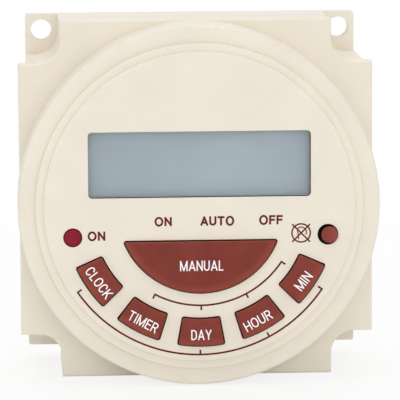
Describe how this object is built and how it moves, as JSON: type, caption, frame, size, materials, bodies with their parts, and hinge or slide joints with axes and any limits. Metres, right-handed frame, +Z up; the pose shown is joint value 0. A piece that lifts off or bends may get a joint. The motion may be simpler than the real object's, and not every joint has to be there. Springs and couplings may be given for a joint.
{
  "type": "electronic timer",
  "caption": "Square panel-mounting time switch: a stepped round face with display window, indicator and keys, on a notched base with screw ears and rear tab terminals.",
  "frame": {"origin": "centre of the flat back, in the mounting plane, on the axis of the round face", "axes": "+X to the right of someone looking at the face, +Z up, +Y into the mounting plate, so the face looks along -Y"},
  "size_m": [0.0606, 0.0328, 0.061],
  "materials": {
    "face_plastic": "fine satin moulding, warm white",
    "base_plastic": "fine satin moulding, warm ivory",
    "key_plastic": "satin red-brown",
    "clear_window": "clear polished",
    "film": "grey polarizing film",
    "cell_glass": "clear polished",
    "reflector": "grey pearl",
    "black_plastic": "satin black",
    "pink_rubber": "layered silicone",
    "board": "green solder mask",
    "carbon_print": "dull carbon ink",
    "carbon_rubber": "dull carbon silicone",
    "mat_rubber": "matt translucent silicone",
    "can_metal": "plated can",
    "chip_ceramic": "fired ceramic with tinned ends",
    "red_indicator": "tinted diffused resin",
    "screw_steel": "zinc plated",
    "tinned_brass": "tin plated, stamped",
    "contact_brass": "plated",
    "yellow_plastic": "moulded box",
    "can_sleeve": "sleeved can",
    "blue_coating": "dipped epoxy",
    "resistor_coating": "lacquered body",
    "relay_plastic": "moulded",
    "magnet_iron": "plated soft iron",
    "winding_copper": "enamelled wire"
  },
  "bodies": {
    "casing": {"backup_battery": "can_metal", "base_housing": "base_plastic", "battery_tabs": "can_metal", "chip_components": "chip_ceramic", "contact_pads": "carbon_print", "cover_screws": "screw_steel", "crystal": "can_metal", "display_board": "board", "display_board_screws": "screw_steel", "driver_transistor": "black_plastic", "dropper_resistors": "resistor_coating", "film_capacitor": "yellow_plastic", "front_cap": "face_plastic", "indicator_led": "red_indicator", "key_mat": "mat_rubber", "lcd_frame": "black_plastic", "lcd_front_glass": "cell_glass", "lcd_polarizer": "film", "lcd_rear_glass": "cell_glass", "lcd_reflector": "reflector", "led_spacer": "black_plastic", "link_header": "black_plastic", "link_pins": "contact_brass", "microcontroller": "black_plastic", "power_board": "board", "power_board_screws": "screw_steel", "rear_cover": "base_plastic", "rectifier_diodes": "black_plastic", "relay_base": "relay_plastic", "relay_bobbin": "black_plastic", "relay_case": "relay_plastic", "relay_contacts": "contact_brass", "relay_core": "magnet_iron", "relay_winding": "winding_copper", "relay_yoke": "magnet_iron", "smoothing_capacitor": "can_sleeve", "terminal_1": "tinned_brass", "terminal_2": "tinned_brass", "terminal_3": "tinned_brass", "terminal_4": "tinned_brass", "terminal_5": "tinned_brass", "varistor": "blue_coating", "window_lens": "clear_window", "zebra_strips": "pink_rubber"},
    "manual_key": {"manual_key": "key_plastic", "manual_key_pill": "carbon_rubber"},
    "clock_key": {"clock_key": "key_plastic", "clock_key_pill": "carbon_rubber"},
    "timer_key": {"timer_key": "key_plastic", "timer_key_pill": "carbon_rubber"},
    "day_key": {"day_key": "key_plastic", "day_key_pill": "carbon_rubber"},
    "hour_key": {"hour_key": "key_plastic", "hour_key_pill": "carbon_rubber"},
    "minute_key": {"minute_key": "key_plastic", "minute_key_pill": "carbon_rubber"},
    "cancel_key": {"cancel_key": "key_plastic", "cancel_key_pill": "carbon_rubber"},
    "relay_armature": {"relay_armature": "magnet_iron", "relay_spring": "contact_brass"}
  },
  "joints": [
    {"name": "manual_key_press", "type": "slide", "parent": "casing", "child": "manual_key", "axis": [0, 1, 0], "range_m": [0, 0.0008], "stiffness_N_per_m": 500, "springref_m": -0.0012},
    {"name": "clock_key_press", "type": "slide", "parent": "casing", "child": "clock_key", "axis": [0, 1, 0], "range_m": [0, 0.0008], "stiffness_N_per_m": 500, "springref_m": -0.0012},
    {"name": "timer_key_press", "type": "slide", "parent": "casing", "child": "timer_key", "axis": [0, 1, 0], "range_m": [0, 0.0008], "stiffness_N_per_m": 500, "springref_m": -0.0012},
    {"name": "day_key_press", "type": "slide", "parent": "casing", "child": "day_key", "axis": [0, 1, 0], "range_m": [0, 0.0008], "stiffness_N_per_m": 500, "springref_m": -0.0012},
    {"name": "hour_key_press", "type": "slide", "parent": "casing", "child": "hour_key", "axis": [0, 1, 0], "range_m": [0, 0.0008], "stiffness_N_per_m": 500, "springref_m": -0.0012},
    {"name": "minute_key_press", "type": "slide", "parent": "casing", "child": "minute_key", "axis": [0, 1, 0], "range_m": [0, 0.0008], "stiffness_N_per_m": 500, "springref_m": -0.0012},
    {"name": "cancel_key_press", "type": "slide", "parent": "casing", "child": "cancel_key", "axis": [0, 1, 0], "range_m": [0, 0.0008], "stiffness_N_per_m": 500, "springref_m": -0.0012},
    {"name": "relay_armature_hinge", "type": "hinge", "parent": "casing", "child": "relay_armature", "pos_m": [-0.0061, -0.0184, -0.00125], "axis": [0, 0, 1], "range_deg": [0, 2.8], "stiffness_Nm_per_rad": 0.05, "springref_deg": -11.46}
  ]
}
